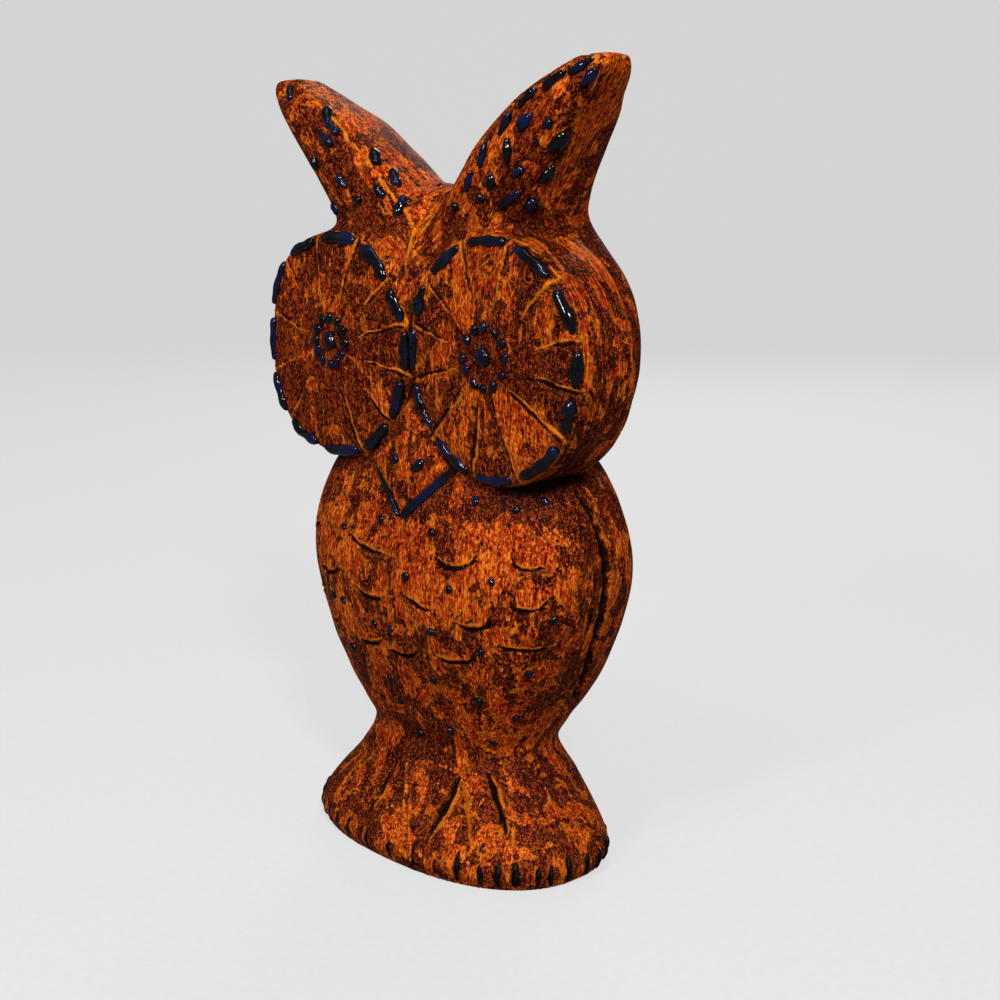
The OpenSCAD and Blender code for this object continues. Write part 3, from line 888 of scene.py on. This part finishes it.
def brushed_acrylic():
    """Artist's acrylic on a primed wooden carving: a dark red-brown ground and burnt orange dragged over
    it with a stiff brush.  The orange lies in ragged patches with a lighter lip where a patch stops, its
    hairs are about half a millimetre wide, and the knife cuts keep dark brown in them and light orange
    along their edges.  Light and shade are painted in too: painted shade in creases and hollows,
    painted light on one side of a cut and painted shade on the other, and fine light orange specks for
    painted sparkle."""
    material, tree, shader, place = new_material("brushed_acrylic_on_wood")
    read = {name: add(tree, "Attribute", {"attribute_name": name}, out="Fac")
            for name in ("cut", "ink", "burr", "lead", "ridge", "crease_shade", "edge", "tone")}
    brush = add(tree, "Attribute", {"attribute_name": "brush"}, out="Vector")
    hair = add(tree, "TexNoise", Vector=brush, Scale=1 / 0.46, Detail=3.0, Roughness=0.7)
    streak = add(tree, "TexNoise", Vector=brush, Scale=1 / 2.2, Detail=4.0, Roughness=0.7, Distortion=0.5)
    drag = add(tree, "TexNoise", Vector=brush, Scale=1 / 4.6, Detail=4.0, Roughness=0.62, Distortion=0.4)
    fleck = add(tree, "TexNoise", Vector=place, Scale=1 / 0.0011, Detail=2.0, Roughness=0.6)
    patch = add(tree, "TexNoise", Vector=place, Scale=1 / 0.013, Detail=6.0, Roughness=0.6,
        Distortion=1.2)
    worn = add(tree, "TexNoise", Vector=place, Scale=1 / 0.005, Detail=5.0, Roughness=0.7, Distortion=0.6)
    cloud = add(tree, "TexNoise", Vector=place, Scale=1 / 0.04, Detail=3.0, Roughness=0.5)
    sparkle_speck_noise = add(tree, "TexNoise", Vector=place, Scale=1 / 0.00055, Detail=1.0, Roughness=0.55)
    near_cut = add(tree, "ValToRGB", stops=[(0.25, 1.0), (0.95, 0.0)],
        in0=add(tree, "Math", TIMES, in0=read["cut"], in1=1 / FAR_RATIO))
    # Painted light and shade: more orange on one side of a cut (above a breast scallop) and less on the
    # other.
    beside = add(tree, "Math", TIMES, in0=near_cut, in1=read["lead"])
    # Less orange is laid in creases and hollows, as painted shade.
    cover = weighed(tree, (patch, 1.5), (drag, 0.55), (streak, 0.28), (hair, 0.14), (fleck, 0.12),
        (read["tone"], 0.8), (read["crease_shade"], -0.25), (read["edge"], 0.1), (beside, 0.09), (-0.815, 1.0))
    top_coat = add(tree, "ValToRGB", stops=[(0.48, 0.0), (0.5, 1.0)], in0=cover)
    lip = add(tree, "ValToRGB", stops=[(0.486, 0.0), (0.5, 1.0), (0.516, 0.8), (0.545, 0.0)], in0=cover)
    lip = add(tree, "Math", TIMES, in0=lip,
        in1=add(tree, "ValToRGB", stops=[(0.44, 0.0), (0.56, 1.0)], in0=worn))
    mottle = weighed(tree, (hair, 2.9), (streak, 1.5), (fleck, 1.3), (cloud, 0.9), (read["tone"], 0.4),
        (-2.8, 1.0))
    orange = add(tree, "ValToRGB", in0=mottle, stops=[(0.06, "#2e0503"), (0.26, "#641306"),
        (0.44, "#962807"), (0.6, "#bb3a09"), (0.76, "#d65210"), (0.94, "#fb8c22")])
    mottle = weighed(tree, (hair, 2.4), (streak, 1.3), (fleck, 2.0), (cloud, 0.8), (-2.75, 1.0))
    ground = add(tree, "ValToRGB", in0=mottle, stops=[(0.18, "#200301"), (0.42, "#360703"),
        (0.6, "#521005"), (0.78, "#7c2208"), (0.93, "#ae4614")])
    # Painted sparkle: fine light orange specks on the dark ground stand for the glints of the satin paint.
    painted_sparkle_specks = add(tree, "ValToRGB", stops=[(0.6, 0.0), (0.7, 0.7)], in0=sparkle_speck_noise)
    ground = add(tree, "Mix", OVER, out=2, in0=painted_sparkle_specks, in6=ground, in7=linear("#c8601a"))
    colour = add(tree, "Mix", OVER, out=2, in0=top_coat, in6=ground, in7=orange)
    colour = add(tree, "Mix", OVER, out=2, in0=add(tree, "Math", TIMES, in0=lip, in1=0.9), in6=colour,
        in7=linear("#e87c1a"))
    vein = add(tree, "TexNoise", Vector=brush, Scale=1 / 1.8, Detail=4.0, Roughness=0.6, Distortion=1.2)
    thread = add(tree, "ValToRGB", stops=[(0.484, 0.0), (0.496, 1.0), (0.504, 1.0), (0.516, 0.0)],
        in0=vein)
    thread = add(tree, "Math", TIMES, in0=thread,
        in1=add(tree, "ValToRGB", stops=[(0.46, 0.0), (0.62, 0.8)], in0=worn))
    colour = add(tree, "Mix", OVER, out=2, in0=thread, in6=colour, in7=linear("#de6d14"))
    # Painted shade: the colour is darkened in creases and hollows, most under the discs and in the neck.
    painted_crease_shade = add(tree, "ValToRGB", stops=[(0.12, 1.0), (0.45, 0.62), (0.85, 0.16)], in0=read["crease_shade"])
    colour = add(tree, "Mix", SHADE, out=2, in0=1.0, in6=colour, in7=painted_crease_shade)
    rubbed = weighed(tree, (worn, 0.6), (streak, 0.4))
    rubbed = add(tree, "ValToRGB", stops=[(0.48, 0.0), (0.58, 0.6)], in0=rubbed)
    raised = add(tree, "ValToRGB", stops=[(0.24, 0.0), (0.5, 1.0)], in0=read["edge"])
    raised = add(tree, "Math", TIMES, in0=raised, in1=rubbed)
    colour = add(tree, "Mix", OVER, out=2, in0=raised, in6=colour, in7=linear("#c4580c"))
    wobble = weighed(tree, (read["cut"], 1 / FAR_RATIO), (fleck, 0.2), (worn, 0.3), (-0.25, 1.0))
    bank = add(tree, "ValToRGB", stops=[(0.19, 0.0), (0.26, 1.0), (0.39, 1.0), (0.54, 0.0)], in0=wobble)
    bank = add(tree, "Math", TIMES, in0=bank,
        in1=add(tree, "ValToRGB", stops=[(0.42, 0.1), (0.55, 1.0)], in0=worn))
    # Painted light: a cut's light lip is strongest on one side (the upper side of a breast scallop), broken
    # up by the patches.
    lit_side_of_cut = weighed(tree, (read["lead"], 0.5), (patch, 1.6), (-0.3, 1.0))
    bank = add(tree, "Math", TIMES, in0=bank,
        in1=add(tree, "ValToRGB", stops=[(0.35, 0.1), (0.6, 1.0)], in0=lit_side_of_cut))
    bank = add(tree, "Math", TIMES, in0=bank, in1=read["burr"])
    slot = add(tree, "Math", TIMES,
        in0=add(tree, "ValToRGB", stops=[(0.15, 1.0), (0.27, 0.0)], in0=wobble), in1=read["ink"])
    colour = add(tree, "Mix", OVER, out=2, in0=bank, in6=colour, in7=linear("#ee7f14"))
    crest = add(tree, "ValToRGB", stops=[(0.5, 0.0), (0.85, 1.0)],
        in0=weighed(tree, (read["ridge"], 1.0), (worn, 2.2), (hair, 1.2), (-1.66, 1.0)))
    crest = add(tree, "Math", TIMES, in0=crest,
        in1=add(tree, "ValToRGB", stops=[(0.05, 0.0), (0.35, 1.0)], in0=read["ridge"]))
    colour = add(tree, "Mix", OVER, out=2, in0=crest, in6=colour, in7=linear("#f07f14"))
    colour = add(tree, "Mix", OVER, out=2, in0=slot, in6=colour, in7=linear("#150302"))
    shader.inputs["IOR"].default_value = 1.46
    shader.inputs["Specular IOR Level"].default_value = 0.06
    relief = weighed(tree, (hair, 0.8), (streak, 0.9), (fleck, 0.5), (top_coat, 0.35), (lip, 0.35),
        (slot, -1.6), (bank, 0.7), (thread, 0.3), (crest, 0.5))
    rough = weighed(tree, (hair, 0.3), (top_coat, 0.08), (0.34, 1.0))
    lay_on(tree, shader, colour, rough, relief, 0.8, 0.0005)
    return material


def raised_enamel():
    """Glossy solvent enamel squeezed from a fine nozzle: almost black navy, thick enough to stand in
    beads, with small sharp highlights and a faint ripple where it skinned over."""
    material, tree, shader, place = new_material("raised_navy_enamel")
    cloud = add(tree, "TexNoise", Vector=place, Scale=1 / 0.007, Detail=2.0, Roughness=0.5)
    ripple = add(tree, "TexNoise", Vector=place, Scale=1 / 0.0022, Detail=2.0, Roughness=0.5)
    colour = add(tree, "ValToRGB", stops=[(0.36, "#010103"), (0.5, "#02050f"), (0.64, "#061136")],
        in0=cloud)
    shader.inputs["IOR"].default_value = 1.5
    shader.inputs["Specular IOR Level"].default_value = 0.38
    lay_on(tree, shader, colour, weighed(tree, (ripple, 0.1), (0.05, 1.0)), ripple, 0.4, 0.0004)
    return material


def pooled_black():
    """Thinned black acrylic that ran into the wing grooves and was ticked round the hem: satin, with a
    rusty cast where it lies thin."""
    material, tree, shader, place = new_material("pooled_black_acrylic")
    thin = add(tree, "TexNoise", Vector=place, Scale=1 / 0.0025, Detail=5.0, Roughness=0.5)
    grain = add(tree, "TexNoise", Vector=place, Scale=1 / 0.0007, Detail=2.0, Roughness=0.5)
    colour = add(tree, "ValToRGB", stops=[(0.42, "#030205"), (0.58, "#0c0507"), (0.72, "#2a0b05")],
        in0=thin)
    shader.inputs["IOR"].default_value = 1.46
    shader.inputs["Specular IOR Level"].default_value = 0.15
    rough = weighed(tree, (grain, 0.3), (0.28, 1.0))
    lay_on(tree, shader, colour, rough, weighed(tree, (grain, 1.0), (thin, 1.0)), 0.6, 0.0004)
    return material


def seamless_paper():
    """Matt grey paper with a grain too fine to notice.  It glows a little, to the camera alone."""
    material, tree, shader, place = new_material("seamless_paper")
    grain = add(tree, "TexNoise", Vector=place, Scale=1 / 0.0025, Detail=2.0, Roughness=0.5)
    colour = add(tree, "Mix", OVER, out=2, in0=grain, in6=linear("#686868"), in7=linear("#7c7c7c"))
    tree.links.new(colour, shader.inputs["Base Color"])
    shader.inputs["Roughness"].default_value = 0.9
    seen = add(tree, "LightPath", out="Is Camera Ray")
    shader.inputs["Emission Color"].default_value = linear("#ffffff")
    tree.links.new(add(tree, "Math", TIMES, in0=seen, in1=0.615), shader.inputs["Emission Strength"])
    return material


# ------------------------------ stage, camera and light


def build_stage():
    """A pale floor that curves up into a backdrop: a profile swept from side to side."""
    height, width = DESIGN_H * GROW * MM, 6.0
    back, bend = 1.6, 0.8
    t = np.linspace(0, math.pi / 2, 12)
    profile = np.concatenate([[[-3.0, 0.0]], np.stack([back + bend * np.sin(t), bend - bend * np.cos(t)], 1),
                              [[back + bend, 3.0]]])
    turn = math.radians(VIEW_AZIMUTH)
    forward, across = np.array([-math.sin(turn), math.cos(turn)]), np.array([math.cos(turn), math.sin(turn)])
    points = []
    for s in (-width / 2, width / 2):
        flat = profile[:, :1] * forward + s * across
        points.append(np.concatenate([flat, profile[:, 1:]], axis=1))
    n = len(profile)
    faces = [(i, i + 1, n + i + 1, n + i) for i in range(n - 1)]
    mesh = bpy.data.meshes.new("backdrop")
    mesh.from_pydata(np.concatenate(points).tolist(), [], faces)
    mesh.shade_smooth()
    mesh.materials.append(seamless_paper())
    backdrop = new_object("backdrop", mesh)
    return height


def build_camera(height):
    """The camera stands at the figure's front left, a little above its middle and looking slightly down."""
    data = bpy.data.cameras.new("camera")
    data.lens, data.sensor_width = 56.48, 36.0
    camera = new_object("camera", data)
    camera.location = Vector((1.5017, -1.3465, 0.8492)) * height
    forward = Vector((-0.7156, 0.6717, -0.1918))
    camera.rotation_euler = forward.to_track_quat("-Z", "Y").to_euler()
    bpy.context.scene.camera = camera


def build_light(name, azimuth, elevation, distance, size, power):
    """A square soft box at an angle round the figure, which looks at the figure's middle."""
    a, e = math.radians(azimuth), math.radians(elevation)
    way = Vector((math.sin(a) * math.cos(e), -math.cos(a) * math.cos(e), math.sin(e)))
    data = bpy.data.lights.new(name, "AREA")
    data.size, data.energy = size, power
    lamp = new_object(name, data)
    lamp.location = way * distance + Vector((0, 0, 0.12))
    lamp.rotation_euler = way.to_track_quat("Z", "Y").to_euler()


def build_world(seen, code, strength):
    """Even grey light from all round, with a paler grey where the camera looks straight at it."""
    world = bpy.data.worlds.new("studio")
    world.use_nodes = True
    tree = world.node_tree
    light = tree.nodes["Background"]
    light.inputs["Color"].default_value = linear(code)
    light.inputs["Strength"].default_value = strength
    pale = add(tree, "Background", Color=linear(seen), Strength=1.0)
    path = add(tree, "LightPath")
    either = add(tree, "MixShader", in0=path, in1=light.outputs[0], in2=pale)
    tree.links.new(either, tree.nodes["World Output"].inputs["Surface"])
    bpy.context.scene.world = world


# ------------------------------ making it all

wood = brushed_acrylic()
enamel = raised_enamel()
black = pooled_black()
hem = hem_paths()
cuts, ridges = all_cuts(hem), all_ridges()
carve("carved_body", body_field, BODY_LATTICE, cuts, ridges, wood, False)
carve("carved_head", head_field, HEAD_LATTICE, cuts, ridges, wood, True)
for side, word, table, spots in (
        (LEFT, "left", LEFT_CUTS, LEFT_SPOTS), (RIGHT, "right", RIGHT_CUTS, RIGHT_SPOTS)):
    bead_group(word + "_eye_rim_dashes", rim_dashes(side, table), enamel)
    bead_group(word + "_iris_ring", iris_dots(side), enamel)
    bead_group(word + "_pupil", pupil(side), enamel)
    bead_group(word + "_ear_spots", ear_spots(spots), enamel)
    bead_group(word + "_wing_line", wing_line(side), black)
bead_group("left_ear_edge_dashes", ear_spots(LEFT_EDGE), enamel)
bead_group("right_ear_edge_dashes", ear_edge(RIGHT, RIGHT_EDGE), enamel)
bead_group("beak_strokes", beak_strokes(), enamel)
bead_group("nostril_dots", nostrils(), enamel)
bead_group("breast_dots", breast_dots(), enamel)
bead_group("hem_ticks", hem_ticks(hem), black)

build_camera(build_stage())
build_world("#dadada", "#d8d8d8", 0.25)
build_light("key_right", 57, 36, 1.2, 0.14, 7.8)
build_light("glint", 22, 58, 1.0, 0.12, 1.7)
build_light("fill_left", 8, 28, 1.2, 0.14, 3.9)
build_light("top", 40, 85, 1.0, 0.4, 0.7)
build_light("back", 215, 30, 1.4, 0.5, 4.5)
bpy.context.scene.view_settings.view_transform = "Standard"
